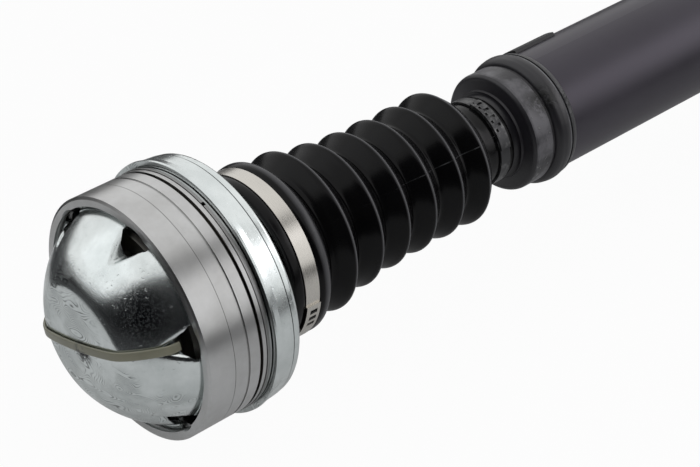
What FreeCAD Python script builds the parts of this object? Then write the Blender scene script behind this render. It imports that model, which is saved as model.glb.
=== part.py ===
import FreeCAD, Part
import math
import os

# Front propeller shaft. Millimetres. +X runs along the shaft from the ball joint to the bolted flange,
# +Z is up, and the origin is the centre of the ball joint.
V = FreeCAD.Vector
O = V(0, 0, 0)
X = V(1, 0, 0)
Y = V(0, 1, 0)
Z = V(0, 0, 1)

# Ball joint: driving dimensions
tracks = 6
track_phase = 42.0
race_r = 48.0
race_length = 34.0
face = -13.0
ball_r = 8.73
ball_circle = 35.5
track_play = 0.3
cage_r_out = 39.5
cage_r_in = 33.0
cage_half = 11.0
sphere_play = 0.3
race_bore = cage_r_out + sphere_play
inner_r = cage_r_in - sphere_play
counterbore_r = 44.4
counterbore_depth = 4.0
mouth_flare = 0.8
can_seat_r = 46.9
can_seat_x = 15.0
snap_gap_angle = 107.0

# Outer race grooves as (start, end, depth): a fine line, a plain groove and the snap ring groove
race_grooves = [(4.2, 5.2, 0.5), (9.7, 11.1, 1.6), (12.7, 14.3, 2.0)]

# Pressed cap in front of the ball joint: a round side and a flatter crown, both parts of spheres
cap_r = 44.3
cap_sphere_r = 46.5
cap_centre = face + 20.9
cap_nose = 21.5
crown_sphere_r = 148.0
crease_blend = 9.0
cap_wall = 1.5
notch_r = 34.8
notch_open = 7.6
notch_valley_r = 0.8
notch_edge = 3.2
band_width = 3.4
band_thick = 1.5
band_lift = 0.1
band_bend = face - 7.1
band_angle = track_phase + 120

# Boot can: pressed shell and its neck
can_front = face + 28.4
can_rear = face + 41.0
can_r = 49.8
can_wall = 1.6
neck_r = 30.8
neck_end = 50.5

# Boot: a lip, six folds given as (x, radius), and a cuff
crests = [(69.3, 32.8), (85.0, 29.8), (100.0, 28.3), (114.2, 28.0), (128.8, 28.0), (143.0, 28.1)]
valleys = [(61.5, 27.0), (77.0, 25.0), (92.5, 23.4), (107.0, 22.8), (121.5, 22.8), (136.0, 22.8)]
crest_radius = 2.0
valley_radius = 1.2
crest_rise = 0.45
boot_wall = 1.6
boot_gap = 0.3
boot_split = valleys[2][0]
lip_front = 38.5
lip_r = 33.9
lip_seat_r = 32.9
cuff_front = 151.2
cuff_rear = 167.2
cuff_outer_r = 17.7
cuff_seat_r = 17.2

# Clamps: thin strips that overlap themselves where they lock
clamp_wall = 0.8
big_clamp_x = 43.2
big_clamp_width = 6.5
big_lock_start = -174.0
big_lock_turn = 52.0
big_windows = 3
small_clamp_x = 159.3
small_clamp_width = 5.0
small_lock_start = 72.0
small_lock_turn = 106.0
small_slots = 5

# Sliding spline
teeth = 24
spline_tip_r = 12.4
spline_root_r = 11.2
spline_play = 0.08
spline_tip_share = 0.17
spline_root_share = 0.31
stub_nose = -16.5
neck_thin_r = 11.0
circlip_front = -13.6
circlip_groove = 1.4
stub_rear = 200.0
spline_front = 95.0
sleeve_front = 146.0
sleeve_spline = 150.0
sleeve_r = 15.9
shoulder_r = 25.2
collar_r = 27.6
spigot_end = 242.0

# Tube and universal joint
tube_r = 25.4
tube_wall = 2.1
weld_height = 1.5
weld_width = 3.2
weight_front = 196.0
weight_rear = 218.5
weight_wall = 1.4
weight_angle = 41.0
tube_front = 191.5
tube_rear = 520.0
joint_x = 575.0
seal_r = 12.6
seal_start = 20.9
seal_end = 24.5
cup_r = 13.5
cup_start = 24.9
cup_end = 41.0
cup_floor = 2.4
ring_groove = 1.7
trunnion_r = 8.1
trunnion_end = 38.2
trunnion_play = 0.05
fitting_r = 3.2
ear_r = 21.0
ear_in = 25.2
ear_out = 43.0
swing_r = 46.0
root_r = 26.4
arm_waist = 17.4
flange_r = 49.0
flange_front = joint_x + 40.0
flange_back = joint_x + 49.0
pilot_r = 30.15
pilot_length = 2.5
bolt_circle = 79.4
bolt_hole_r = 4.95
bolt_seat_r = 9.5
bolts = 4

os.makedirs("parts", exist_ok=True)


def save(shape, name):
    shape.exportStep("parts/" + name + ".step")


# Turned shapes: steps are (x, r) for a straight edge, or ((x, r), (x, r)) for an arc through the first
def turned(start, *steps):
    here = V(start[0], start[1], 0)
    first = here
    edges = []
    for step in steps:
        if isinstance(step[0], tuple):
            middle = V(step[0][0], step[0][1], 0)
            there = V(step[1][0], step[1][1], 0)
            edges.append(Part.Arc(here, middle, there).toShape())
        else:
            there = V(step[0], step[1], 0)
            edges.append(Part.makeLine(here, there))
        here = there
    edges.append(Part.makeLine(here, first))
    return Part.Face(Part.Wire(edges)).revolve(O, X, 360)


def rod(x0, x1, r, y=0.0, z=0.0):
    return Part.makeCylinder(r, x1 - x0, V(x0, y, z), X)


def pipe(x0, x1, r_out, r_in):
    return rod(x0, x1, r_out).cut(rod(x0 - 1, x1 + 1, r_in))


def turn(shape, angle, axis=X, centre=O):
    copy = shape.copy()
    copy.rotate(centre, axis, angle)
    return copy


def cut_all(shape, tools):
    for tool in tools:
        shape = shape.cut(tool)
    return shape


def track_angles():
    return [track_phase + i * 360.0 / tracks for i in range(tracks)]


# Involute spline drawn with straight flanks; play widens it all round for the bore
def spline(x0, x1, play):
    pitch = 2 * math.pi / teeth
    tip = spline_tip_r + play
    root = spline_root_r + play
    half_tip = spline_tip_share * pitch + play / tip
    half_root = spline_root_share * pitch + play / root
    points = []
    for i in range(teeth):
        middle = i * pitch
        for angle, r in ((middle - half_root, root), (middle - half_tip, tip),
                         (middle + half_tip, tip), (middle + half_root, root)):
            points.append(V(x0, r * math.cos(angle), r * math.sin(angle)))
    points.append(points[0])
    return Part.Face(Part.makePolygon(points)).extrude(V(x1 - x0, 0, 0))


# Outer race: ground ring with a spherical bore, six straight ball tracks and three grooves
def outer_race():
    back = face + race_length
    steps = [(face, race_r - 1.0), (face + 0.6, race_r)]
    for x0, x1, depth in race_grooves:
        steps += [(x0, race_r), (x0, race_r - depth), (x1, race_r - depth), (x1, race_r)]
    steps += [(can_seat_x, race_r), (can_seat_x, can_seat_r), (back, can_seat_r), (back, 30)]
    ring = turned((face, 30), *steps)
    ring = ring.cut(Part.makeSphere(race_bore))
    ring = ring.cut(rod(face - 1, back + 1, 34.4))
    ring = ring.cut(rod(face - 1, face + counterbore_depth, counterbore_r))
    ring = ring.cut(rod(face + 1.4, face + 2.6, counterbore_r + 0.9))
    groove_r = ball_r + track_play
    groove = rod(face - 1, back + 1, groove_r, ball_circle)
    mouth = Part.makeCone(groove_r + 2 * mouth_flare, groove_r, 2.0, V(face - 1, ball_circle, 0), X)
    groove = groove.fuse(mouth)
    return cut_all(ring, [turn(groove, a) for a in track_angles()])


# Inner race: spherical ring with six grooves curved about the joint centre and a splined bore
def inner_race():
    body = Part.makeSphere(inner_r).common(rod(-cage_half, cage_half, inner_r + 1))
    body = body.cut(spline(-cage_half - 1, cage_half + 1, spline_play))
    for angle in track_angles()[: tracks // 2]:
        a = math.radians(angle)
        ring = Part.makeTorus(ball_circle, ball_r + track_play, O, V(0, -math.sin(a), math.cos(a)))
        body = body.cut(ring)
    return body


# Cage: spherical shell with a round-cornered window for each ball
def ball_cage():
    body = Part.makeSphere(cage_r_out).common(rod(-cage_half, cage_half, cage_r_out + 1))
    body = body.cut(Part.makeSphere(cage_r_in))
    half_x = ball_r + 0.12
    half_y = ball_r + 0.7
    window = Part.makeBox(2 * half_x, 2 * half_y, 16, V(-half_x, -half_y, 28))
    corners = [e for e in window.Edges if abs(e.tangentAt(e.FirstParameter).z) > 0.9]
    window = window.makeFillet(2.5, corners)
    return cut_all(body, [turn(window, a - 90) for a in track_angles()])


def ball(angle):
    a = math.radians(angle)
    return Part.makeSphere(ball_r, V(0, ball_circle * math.cos(a), ball_circle * math.sin(a)))


# Closed outline in a plane: each corner is (u, v) or (u, v, radius), and place puts (u, v) in space.
# A soft skin has its round corners drawn as two chords, so that it keeps few faces.
def outline(corners, place, soft=False):
    ends = []
    edges = []
    for i, corner in enumerate(corners):
        here = place(corner[0], corner[1])
        if len(corner) == 2:
            ends.append((here, here))
            continue
        before = corners[i - 1]
        after = corners[(i + 1) % len(corners)]
        back = (place(before[0], before[1]) - here).normalize()
        on = (place(after[0], after[1]) - here).normalize()
        half = back.getAngle(on) / 2
        reach = corner[2] / math.tan(half)
        middle = (back + on).normalize() * (corner[2] / math.sin(half) - corner[2])
        start, end = here + back * reach, here + on * reach
        ends.append((start, end))
        if soft:
            edges += [Part.makeLine(start, here + middle), Part.makeLine(here + middle, end)]
        else:
            edges.append(Part.Arc(start, here + middle, end).toShape())
    for i, (start, end) in enumerate(ends):
        following = ends[(i + 1) % len(ends)][0]
        if (following - end).Length > 1e-6:
            edges.append(Part.makeLine(end, following))
    return Part.Face(Part.Wire(Part.__sortEdges__(edges)))


# V-shaped dent with a rounded valley, pressed into the cap over each ball track
def notch(bottom, valley_r):
    slope = notch_open / (cap_r - notch_r)
    reach = 52 - bottom
    corners = [(bottom, 0, valley_r), (52, slope * reach), (52, -slope * reach)]
    return outline(corners, lambda y, z: V(face - 30, y, z)).extrude(V(40, 0, 0))


# Cap dome: the overlap of the side sphere and the crown sphere with a soft crease, grown all round
def dome(grow):
    crown_centre = face - cap_nose + crown_sphere_r
    side = Part.makeSphere(cap_sphere_r + grow, V(cap_centre, 0, 0))
    crown = Part.makeSphere(crown_sphere_r + grow, V(crown_centre, 0, 0))
    body = side.common(crown)
    crease = [e for e in body.Edges if not e.Degenerated and e.BoundBox.XLength < 0.01]
    return body.makeFillet(crease_blend + grow, crease)


# Stop cap: pressed steel dome on a flange that seats in the counterbore, with six dents over the tracks
def stop_cap():
    seat = face + counterbore_depth
    front = seat - cap_wall
    flange = rod(front, seat, cap_r)
    outside = dome(0).common(rod(face - cap_nose - 1, seat, cap_r)).fuse(flange)
    inside = dome(-cap_wall)
    slope = math.atan(notch_open / (cap_r - notch_r))
    deep = notch_r - cap_wall / math.sin(slope)
    for angle in track_angles():
        outside = outside.cut(turn(notch(notch_r, notch_valley_r), angle))
        inside = inside.cut(turn(notch(deep, notch_valley_r + cap_wall), angle))
    cap = outside.cut(inside)
    half = notch_open - 1.4
    relief = Part.makeBox(10, 20, 2 * half, V(face - notch_edge, 29, -half))
    return cut_all(cap, [turn(relief, a) for a in track_angles()])


# Rubber band: a strip of a shell just off the dome, with a straight leg down each of two opposite dents
def cap_band():
    low = cap_sphere_r + band_lift
    leg = math.sqrt(low ** 2 - (band_bend - cap_centre) ** 2)
    half = leg + band_thick
    shell = dome(band_lift + band_thick).cut(dome(band_lift))
    front = face - cap_nose - 2 * band_thick
    keep = Part.makeBox(band_bend - front, 2 * half, band_width, V(front, -half, -band_width / 2))
    band = shell.common(keep)
    for start in (leg, -half):
        corner = V(band_bend, start, -band_width / 2)
        band = band.fuse(Part.makeBox(face - notch_edge - band_bend, band_thick, band_width, corner))
    return turn(band.removeSplitter(), band_angle)


# Snap ring in the last groove of the outer race, open by a small gap
def race_snap_ring():
    start, end, depth = race_grooves[-1]
    ring = pipe(start + 0.2, end - 0.2, race_r + 0.3, race_r - depth + 0.1)
    gap = Part.makeBox(4, 10, 1.6, V(start - 1.2, race_r - 5, -0.8))
    return ring.cut(turn(gap, snap_gap_angle))


# Boot can: pressed steel shell over the rear of the outer race, drawn in to a neck for the boot
def boot_can():
    t = can_wall
    return turned((can_front, can_r + 0.5), (can_front + 0.9, can_r + 0.6), (can_front + 3.4, can_r),
                  (can_rear - 3.7, can_r - 0.5), (can_rear - 3.4, can_r - 0.8), (can_rear - 1.6, can_r - 0.9),
                  ((can_rear - 0.4, can_r - 1.5), (can_rear, can_r - 3.4)),
                  (33.5, neck_r + 2.6), ((34.4, neck_r + 0.7), (36.0, neck_r)), (neck_end, neck_r),
                  (neck_end, neck_r - t), (35.4, neck_r - t), (31.8, neck_r + 2.2),
                  (can_rear - t - 0.2, can_r - 4.6), (can_rear - t - 1.6, can_r - t - 1.0),
                  (can_front + 6.3, can_seat_r + 0.05), (can_front, can_seat_r + 0.05))


# Boot folds: crest and valley corners of a skin that lies inset under the outer one
def folds(inset):
    drop = 1.2 * inset
    corners = []
    for valley, crest in zip(valleys, crests):
        corners.append((valley[0], valley[1] - drop, valley_radius + inset))
        corners.append((crest[0], crest[1] + crest_rise - drop, max(crest_radius - inset, 0.4)))
    return corners


# Boot outline: lip, folds and cuff, out along the outer skin and back along the bore
def boot_corners():
    bore_r = neck_r + boot_gap
    cuff_bore_r = sleeve_r + boot_gap
    seat = big_clamp_x + big_clamp_width
    lip_crest = lip_r + 1.3
    outer = [(lip_front, lip_r, 0.8), (big_clamp_x - 0.5, lip_r, 0.4), (big_clamp_x - 0.4, lip_seat_r),
             (seat + 0.4, lip_seat_r), (seat + 0.5, lip_r, 0.4), (seat + 3.8, lip_crest, 1.8)]
    outer += folds(0)
    outer += [(cuff_front, cuff_outer_r, 3.0), (small_clamp_x - 0.5, cuff_outer_r, 0.2),
              (small_clamp_x - 0.3, cuff_seat_r), (small_clamp_x + small_clamp_width + 0.3, cuff_seat_r),
              (small_clamp_x + small_clamp_width + 0.5, cuff_outer_r, 0.2), (cuff_rear, cuff_outer_r, 0.5)]
    inner = [(lip_front, bore_r), (seat + 1.8, bore_r), (seat + 3.8, lip_crest - 1.2 * boot_wall, 0.6)]
    inner += folds(boot_wall)
    inner += [(cuff_front + 0.3, cuff_bore_r, 1.5), (cuff_rear, cuff_bore_r)]
    return outer, inner


# Boot half between two places along the shaft, cut square in a valley
def boot_part(x0, x1):
    outer, inner = [[c[:2] if c[0] == boot_split else c for c in line if x0 <= c[0] <= x1]
                    for line in boot_corners()]
    return outline(outer + inner[::-1], lambda x, r: V(x, r, 0), soft=True).revolve(O, X, 360)


# Clamp strip: one turn, and a second layer over part of it
def clamp_strip(x0, width, r, lock_start, lock_turn):
    band = pipe(x0, x0 + width, r + clamp_wall, r)
    layer = pipe(x0, x0 + width, r + 2 * clamp_wall, r + clamp_wall / 2)
    side = Part.makeBox(width + 2, 2 * r, 2 * r, V(x0 - 1, 0, 0))
    start = turn(side, lock_start)
    end = turn(side, lock_start + lock_turn - 90)
    return band.fuse(layer.common(start).common(end)).removeSplitter()


# Large clamp: three windows in the outer layer, each with the inner layer's hook standing in it
def large_clamp():
    r = lip_seat_r + boot_gap
    middle = big_clamp_x + big_clamp_width / 2
    strip = clamp_strip(big_clamp_x, big_clamp_width, r, big_lock_start, big_lock_turn)
    window = Part.makeBox(3.4, 3, 2.0, V(middle - 1.5, r + clamp_wall, -1.0))
    hook = Part.makeBox(2.6, 1.1, 0.6, V(middle - 1.1, r + 0.3, 0.2))
    places = [big_lock_start + 5.5 + i * 5.8 for i in range(big_windows)]
    strip = cut_all(strip, [turn(window, a) for a in places])
    return strip.fuse([turn(hook, a) for a in places])


# Small clamp: punched slots in two staggered rows and one round hole, all in the outer layer
def small_clamp():
    r = cuff_seat_r + boot_gap
    middle = small_clamp_x + small_clamp_width / 2
    strip = clamp_strip(small_clamp_x, small_clamp_width, r, small_lock_start, small_lock_turn)
    punches = []
    for i in range(small_slots):
        slot = Part.makeBox(2.4, 3, 1.2, V(middle - 0.7, r + clamp_wall, -0.6))
        nick = Part.makeBox(1.1, 3, 1.3, V(middle - 1.8, r + clamp_wall, -0.6))
        angle = small_lock_start + 11 + i * 12
        punches += [turn(slot, angle), turn(nick, angle + 6)]
    hole = Part.makeCylinder(1.1, 3, V(middle, r + clamp_wall, 0), Y)
    return cut_all(strip, punches + [turn(hole, small_lock_start + 92)])


# Stub shaft: splined nose in the inner race, plain neck, and the long male spline that slides
def stub_shaft():
    race_end = cage_half + 1.0
    body = spline(stub_nose, race_end, 0.0)
    tip = turned((stub_nose - 1, 0), (stub_nose - 1, 20), (stub_nose + 1.6, 20), (stub_nose, 11.4),
                 (stub_nose, 0))
    body = body.cut(tip)
    body = body.cut(pipe(circlip_front, circlip_front + circlip_groove, 20, 10.6))
    neck = turned((race_end, 0), (race_end, 15.0), (race_end + 4, 15.0), (race_end + 7, 11.6),
                  (spline_front - 6, neck_thin_r), (spline_front, neck_thin_r), (spline_front, 0))
    slider = spline(spline_front, stub_rear, 0.0)
    lead = turned((stub_rear + 1, 0), (stub_rear + 1, 20), (stub_rear - 1.5, 20), (stub_rear - 0.2, 10.9),
                  (stub_rear - 0.2, 0))
    slider = slider.cut(lead)
    return body.fuse([neck, slider])


def stub_circlip():
    ring = pipe(circlip_front + 0.2, circlip_front + circlip_groove - 0.2, 13.4, 10.8)
    gap = Part.makeBox(4, 8, 3.0, V(circlip_front - 1.4, 8, -1.5))
    return ring.cut(gap)


# Slip sleeve: forged neck with a rounded shoulder and a second collar, splined inside
def slip_sleeve():
    body = turned((sleeve_front, 0), (sleeve_front, sleeve_r - 0.8), (sleeve_front + 0.8, sleeve_r),
                  (167.6, sleeve_r), ((169.2, 16.8), (169.8, 18.9)), (170.8, 19.2), (171.6, 22.9),
                  ((172.4, 24.7), (174.2, shoulder_r)), (181.6, shoulder_r), (182.2, shoulder_r - 0.7),
                  (183.2, shoulder_r - 0.5), ((184.0, 26.4), (185.6, collar_r - 0.3)), (187.4, collar_r),
                  ((189.6, collar_r - 0.2), (tube_front, 26.4)), (tube_front, tube_r - tube_wall - 0.05),
                  (spigot_end - 2, tube_r - tube_wall - 0.05), (spigot_end, tube_r - tube_wall - 2.0),
                  (spigot_end, 0))
    body = body.cut(spline(sleeve_spline, spigot_end + 1, spline_play))
    body = body.cut(rod(sleeve_front - 1, sleeve_spline, 13.0))
    return body.cut(rod(spigot_end - 5, spigot_end + 1, 14.5))


def sleeve_plug():
    x1 = spigot_end - 1
    return turned((x1 - 1.2, 0), (x1 - 1.2, 13.2), (x1 - 3.6, 13.2), (x1 - 3.6, 14.45), (x1, 14.45), (x1, 0))


# Weld beads: rings with a rounded back in the corner between the tube and each forging
def weld(x, side):
    low = tube_r + 0.02
    return turned((x, low), (x, tube_r + weld_height),
                  ((x + side * 2.0, tube_r + 1.1), (x + side * weld_width, low)))


def shaft_tube():
    return pipe(tube_front + 0.02, tube_rear - 0.02, tube_r, tube_r - tube_wall)


# Balance weight: thin steel strip bent to the tube
def balance_weight():
    strip = pipe(weight_front, weight_rear, tube_r + weight_wall, tube_r + 0.02)
    keep = Part.makeBox(40, 30, 20, V(weight_front - 6, 15, -10))
    return turn(strip.common(keep), weight_angle)


# Fork: each arm is the overlap of a side outline, a plan outline and a turned envelope
def fork(base, width):
    reach = joint_x
    tip = reach + ear_r
    side = [(base, -1), (base, ear_out), (tip, ear_out), (tip, ear_in), (reach - 20, ear_in, 3),
            (reach - 24, 21.5, 6), (reach - 31, 12, 10), (reach - 33, -1)]
    arm = outline(side, lambda x, y: V(x, y, -40)).extrude(V(0, 0, 80))
    cheek = ear_r - 2.2
    plan = [(base - 1, -width), (reach - 25, -arm_waist, 18), (reach - 8, -cheek), (reach - 8, cheek),
            (reach - 25, arm_waist, 18), (base - 1, width)]
    top = outline(plan, lambda x, z: V(x, -1, z)).extrude(V(0, 50, 0))
    top = top.fuse(Part.makeCylinder(ear_r, 51, V(reach, -1, 0), Y))
    envelope = turned((base, 0), (base, root_r), ((reach - 36, 31.2), (reach - 17, 42.5)),
                      (reach - 9, swing_r), (tip - 6, swing_r), (tip, swing_r - 3), (tip, 0))
    arm = arm.common(top).common(envelope)
    both = arm.fuse(turn(arm, 180))
    both = both.cut(Part.makeCylinder(cup_r, 120, V(reach, -60, 0), Y))
    for y in (cup_end + 0.02, -cup_end - 0.02 - ring_groove):
        both = both.cut(Part.makeCylinder(cup_r + 1.2, ring_groove, V(reach, y, 0), Y))
    return both


def mirror_x(shape, x):
    return shape.mirror(V(x, 0, 0), X)


# Tube yoke: forged fork on a hub that plugs into the tube
def tube_yoke():
    hub = turned((tube_rear - 16, 0), (tube_rear - 16, tube_r - tube_wall - 1.6),
                 (tube_rear - 14.5, tube_r - tube_wall - 0.05), (tube_rear, tube_r - tube_wall - 0.05),
                 (tube_rear, 26.8), (tube_rear + 8, 26.8), (tube_rear + 14, 24.0), (joint_x - 33, 22.0),
                 (joint_x - 33, 0))
    hub = hub.cut(rod(tube_rear - 17, tube_rear + 4, 17.0))
    return hub.fuse(fork(tube_rear + 4, 22.0)).removeSplitter()


# Flange yoke: the same fork turned to meet the cross, on a round flange with a pilot and four holes
def flange_yoke():
    arms = fork(joint_x - 45, 23.0)
    arms = mirror_x(turn(arms, 90), joint_x)
    plate = turned((flange_front, 0), (flange_front, flange_r - 1.5), (flange_front + 1.5, flange_r),
                   (flange_back, flange_r), (flange_back, 0))
    hub = turned((joint_x + 33, 0), (joint_x + 33, 21.0), (flange_front, 26.0), (flange_front, 0))
    pilot = turned((flange_back, 0), (flange_back, pilot_r), (flange_back + pilot_length - 0.6, pilot_r),
                   (flange_back + pilot_length, pilot_r - 0.6), (flange_back + pilot_length, 0))
    body = plate.fuse([hub, pilot, arms])
    body = body.common(rod(joint_x - 60, flange_back + 10, flange_r))
    body = body.cut(rod(joint_x + 20, flange_back + 10, 11.0))
    for i in range(bolts):
        a = math.radians(45 + i * 360.0 / bolts)
        y = bolt_circle / 2 * math.cos(a)
        z = bolt_circle / 2 * math.sin(a)
        body = body.cut(rod(flange_front - 12, flange_front, bolt_seat_r, y, z))
        body = body.cut(rod(flange_front - 1, flange_back + 1, bolt_hole_r, y, z))
    return body


# Cross: four ground trunnions on a forged centre
def cross():
    centre = V(joint_x, 0, 0)
    body = Part.makeSphere(15.5, centre)
    for direction in (Y, Z):
        start = centre - direction * trunnion_end
        body = body.fuse(Part.makeCylinder(trunnion_r, 2 * trunnion_end, start, direction))
        start = centre - direction * 20.5
        body = body.fuse(Part.makeCylinder(11.0, 41.0, start, direction))
    hole = Part.makeCylinder(fitting_r + 0.02, 12, V(joint_x, 0, 14.9), Z)
    return body.removeSplitter().cut(turn(hole, 45, X, centre))


def on_trunnion(shape, index):
    return turn(shape, 90 * index)


# Trunnion seal, bearing cup and snap ring, each made on +Y and turned to its trunnion
def seal(index):
    ring = Part.makeCylinder(seal_r, seal_end - seal_start, V(joint_x, seal_start, 0), Y)
    ring = ring.cut(Part.makeCylinder(trunnion_r + 0.02, 10, V(joint_x, seal_start - 3, 0), Y))
    return on_trunnion(ring, index)


def bearing_cup(index):
    cup = Part.makeCylinder(cup_r, cup_end - cup_start, V(joint_x, cup_start, 0), Y)
    bore = Part.makeCylinder(trunnion_r + trunnion_play, cup_end - cup_floor - cup_start + 1,
                             V(joint_x, cup_start - 1, 0), Y)
    return on_trunnion(cup.cut(bore), index)


def cup_ring(index):
    start = cup_end + 0.05
    ring = Part.makeCylinder(cup_r + 1.1, 1.5, V(joint_x, start, 0), Y)
    ring = ring.cut(Part.makeCylinder(cup_r - 2.4, 4, V(joint_x, start - 1, 0), Y))
    gap = Part.makeBox(30, 4, 5, V(joint_x + 2, start - 1, -2.5))
    return on_trunnion(ring.cut(gap), index)


# Grease fitting in the cross, between two trunnions
def grease_fitting():
    fitting = Part.makeCylinder(fitting_r, 4.6, V(joint_x, 0, 15.0), Z)
    fitting = fitting.fuse(Part.makeCylinder(2.2, 3.0, V(joint_x, 0, 19.0), Z))
    fitting = fitting.fuse(Part.makeCone(2.5, 1.4, 2.2, V(joint_x, 0, 21.5), Z))
    return turn(fitting, 45)


# Every piece is written under its own name
save(outer_race(), "outer_race")
save(stop_cap(), "stop_cap")
save(cap_band(), "cap_band")
save(race_snap_ring(), "race_snap_ring")
save(boot_can(), "boot_can")
save(large_clamp(), "large_clamp")
save(boot_part(lip_front, boot_split), "boot_front")
save(boot_part(boot_split, cuff_rear), "boot_rear")
save(small_clamp(), "small_clamp")
save(ball_cage(), "ball_cage")
for number, angle in enumerate(track_angles(), 1):
    save(ball(angle), "ball_" + str(number))
save(inner_race(), "inner_race")
save(stub_shaft(), "stub_shaft")
save(stub_circlip(), "stub_circlip")
save(slip_sleeve(), "slip_sleeve")
save(sleeve_plug(), "sleeve_plug")
save(weld(tube_front, 1), "weld_front")
save(shaft_tube(), "shaft_tube")
save(balance_weight(), "balance_weight")
save(weld(tube_rear, -1), "weld_rear")
save(tube_yoke(), "tube_yoke")
save(cross(), "cross")
for index in range(4):
    save(seal(index), "trunnion_seal_" + str(index + 1))
    save(bearing_cup(index), "bearing_cup_" + str(index + 1))
    save(cup_ring(index), "cup_ring_" + str(index + 1))
save(flange_yoke(), "flange_yoke")
save(grease_fitting(), "grease_fitting")
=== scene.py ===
import bpy
import math
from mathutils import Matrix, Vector


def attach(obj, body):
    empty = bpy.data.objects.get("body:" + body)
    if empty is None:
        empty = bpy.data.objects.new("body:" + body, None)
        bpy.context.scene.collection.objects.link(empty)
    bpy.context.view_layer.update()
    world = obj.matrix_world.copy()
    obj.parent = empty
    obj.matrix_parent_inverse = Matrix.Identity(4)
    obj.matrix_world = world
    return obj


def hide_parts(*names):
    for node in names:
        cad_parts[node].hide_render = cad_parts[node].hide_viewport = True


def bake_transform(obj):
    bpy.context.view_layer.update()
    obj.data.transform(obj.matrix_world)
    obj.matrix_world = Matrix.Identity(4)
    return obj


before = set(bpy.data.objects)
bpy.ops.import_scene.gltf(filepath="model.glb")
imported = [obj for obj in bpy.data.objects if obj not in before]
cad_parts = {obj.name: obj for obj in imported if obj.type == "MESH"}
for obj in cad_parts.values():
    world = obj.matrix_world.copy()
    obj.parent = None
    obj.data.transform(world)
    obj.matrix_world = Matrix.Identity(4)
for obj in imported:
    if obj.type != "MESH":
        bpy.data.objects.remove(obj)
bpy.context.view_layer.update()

bpy.ops.object.select_all(action="DESELECT")
mm = 0.001

# Outer race
# The ring is turned and ground from bearing steel and left bright, with six ball tracks milled through it. Its
# finish is fine marks round the axis and a scribed line, and the grooves behind it are darkened with painted
# shade and old oil.
face = -13.0 * mm


def new_material(name, colour, metallic, roughness):
    """A material with its nodes, its links and its shader."""
    material = bpy.data.materials.new(name)
    material.use_nodes = True
    shader = material.node_tree.nodes["Principled BSDF"]
    shader.inputs["Base Color"].default_value = (*colour, 1)
    shader.inputs["Metallic"].default_value = metallic
    shader.inputs["Roughness"].default_value = roughness
    return material, material.node_tree.nodes, material.node_tree.links, shader


def object_position(nodes, links):
    """The position in the part's frame, whole and split into its three values."""
    place = nodes.new("ShaderNodeTexCoord").outputs["Object"]
    split = nodes.new("ShaderNodeSeparateXYZ")
    links.new(place, split.inputs[0])
    return place, split


def angle_round(nodes, links, split):
    """The angle round the shaft's axis, in radians."""
    turn = nodes.new("ShaderNodeMath")
    turn.operation = "ARCTAN2"
    links.new(split.outputs["Z"], turn.inputs[0])
    links.new(split.outputs["Y"], turn.inputs[1])
    return turn.outputs[0]


def radius_round(nodes, links, split):
    """The distance from the shaft's axis."""
    flat = nodes.new("ShaderNodeCombineXYZ")
    links.new(split.outputs["Y"], flat.inputs["Y"])
    links.new(split.outputs["Z"], flat.inputs["Z"])
    radius = nodes.new("ShaderNodeVectorMath")
    radius.operation = "LENGTH"
    links.new(flat.outputs[0], radius.inputs[0])
    return radius.outputs["Value"]


def turned_position(nodes, links, split, along, across, around):
    """A pattern position that changes slowly round the shaft's axis, as marks left by a lathe do."""
    position = nodes.new("ShaderNodeCombineXYZ")
    sources = (split.outputs["X"], radius_round(nodes, links, split), angle_round(nodes, links, split))
    for source, factor, socket in zip(sources, (along, across, around), "XYZ"):
        scale = nodes.new("ShaderNodeMath")
        scale.operation = "MULTIPLY"
        scale.inputs[1].default_value = factor
        links.new(source, scale.inputs[0])
        links.new(scale.outputs[0], position.inputs[socket])
    return position.outputs[0]


def noise(nodes, links, position, scale, detail=4.0, rough=0.5):
    texture = nodes.new("ShaderNodeTexNoise")
    texture.inputs["Scale"].default_value = scale
    texture.inputs["Detail"].default_value = detail
    texture.inputs["Roughness"].default_value = rough
    links.new(position, texture.inputs["Vector"])
    return texture.outputs["Fac"]


def ramp(nodes, links, value, low, high, start=0.0, end=1.0):
    """A value that runs from low to high while another runs from start to end."""
    shape = nodes.new("ShaderNodeMapRange")
    shape.inputs["From Min"].default_value = start
    shape.inputs["From Max"].default_value = end
    shape.inputs["To Min"].default_value = low
    shape.inputs["To Max"].default_value = high
    links.new(value, shape.inputs["Value"])
    return shape.outputs["Result"]


def colours(nodes, links, value, first, second):
    """A colour between two, at the share that a value gives."""
    blend = nodes.new("ShaderNodeMix")
    blend.data_type = "RGBA"
    blend.inputs["A"].default_value = (*first, 1)
    blend.inputs["B"].default_value = (*second, 1)
    links.new(value, blend.inputs["Factor"])
    return blend.outputs["Result"]


def within(nodes, links, value, middle, half):
    """One where a value is no further than half from a middle, and zero elsewhere."""
    node = nodes.new("ShaderNodeMath")
    node.operation = "COMPARE"
    node.inputs[1].default_value = middle
    node.inputs[2].default_value = half
    links.new(value, node.inputs[0])
    return node.outputs[0]


def product(nodes, links, first, second):
    node = nodes.new("ShaderNodeMath")
    node.operation = "MULTIPLY"
    links.new(first, node.inputs[0])
    links.new(second, node.inputs[1])
    return node.outputs[0]


def tint(nodes, links, base, shade, share):
    """A base colour that turns to one shade where the share is one."""
    node = nodes.new("ShaderNodeMix")
    node.data_type = "RGBA"
    node.inputs["B"].default_value = (*shade, 1)
    links.new(base, node.inputs["A"])
    links.new(share, node.inputs["Factor"])
    return node.outputs["Result"]


def bump(nodes, links, shader, height, strength, distance):
    """Relief of a given depth, laid over the relief that the shader has already."""
    node = nodes.new("ShaderNodeBump")
    node.inputs["Strength"].default_value = strength
    node.inputs["Distance"].default_value = distance
    links.new(height, node.inputs["Height"])
    before = shader.inputs["Normal"].links
    if before:
        links.new(before[0].from_socket, node.inputs["Normal"])
    links.new(node.outputs["Normal"], shader.inputs["Normal"])


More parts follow.
